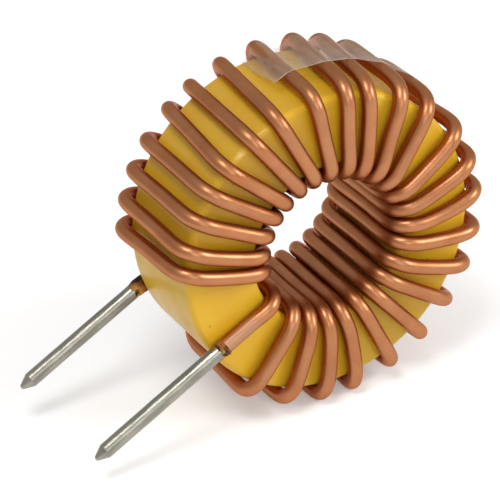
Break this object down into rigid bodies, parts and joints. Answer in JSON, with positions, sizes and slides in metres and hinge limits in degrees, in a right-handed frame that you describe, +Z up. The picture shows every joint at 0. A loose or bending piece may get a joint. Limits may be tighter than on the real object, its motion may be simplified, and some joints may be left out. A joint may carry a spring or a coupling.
{
  "type": "toroidal inductor",
  "caption": "Ring core wound with thick enamelled copper wire, with two straight tinned leads, side by side, for soldering to a board.",
  "frame": {"origin": "On the surface that the part rests on, under the middle of its bounding box.", "axes": "+Z up. The core's axle is level along Y, with the front face towards -Y. The leads point towards -X and slope down."},
  "size_m": [0.0394, 0.013, 0.0299],
  "materials": {
    "core_paint": "glossy yellow coating over pressed iron powder, scuffed at the edges",
    "enamelled_copper": "clear amber enamel over copper, semi-gloss",
    "solder_tin": "dull bright solder",
    "clear_tape": "clear film, slightly hazy"
  },
  "bodies": {
    "root": {"core": "core_paint", "winding": "enamelled_copper", "front_lead_tin": "solder_tin", "rear_lead_tin": "solder_tin", "tape": "clear_tape"}
  },
  "joints": []
}
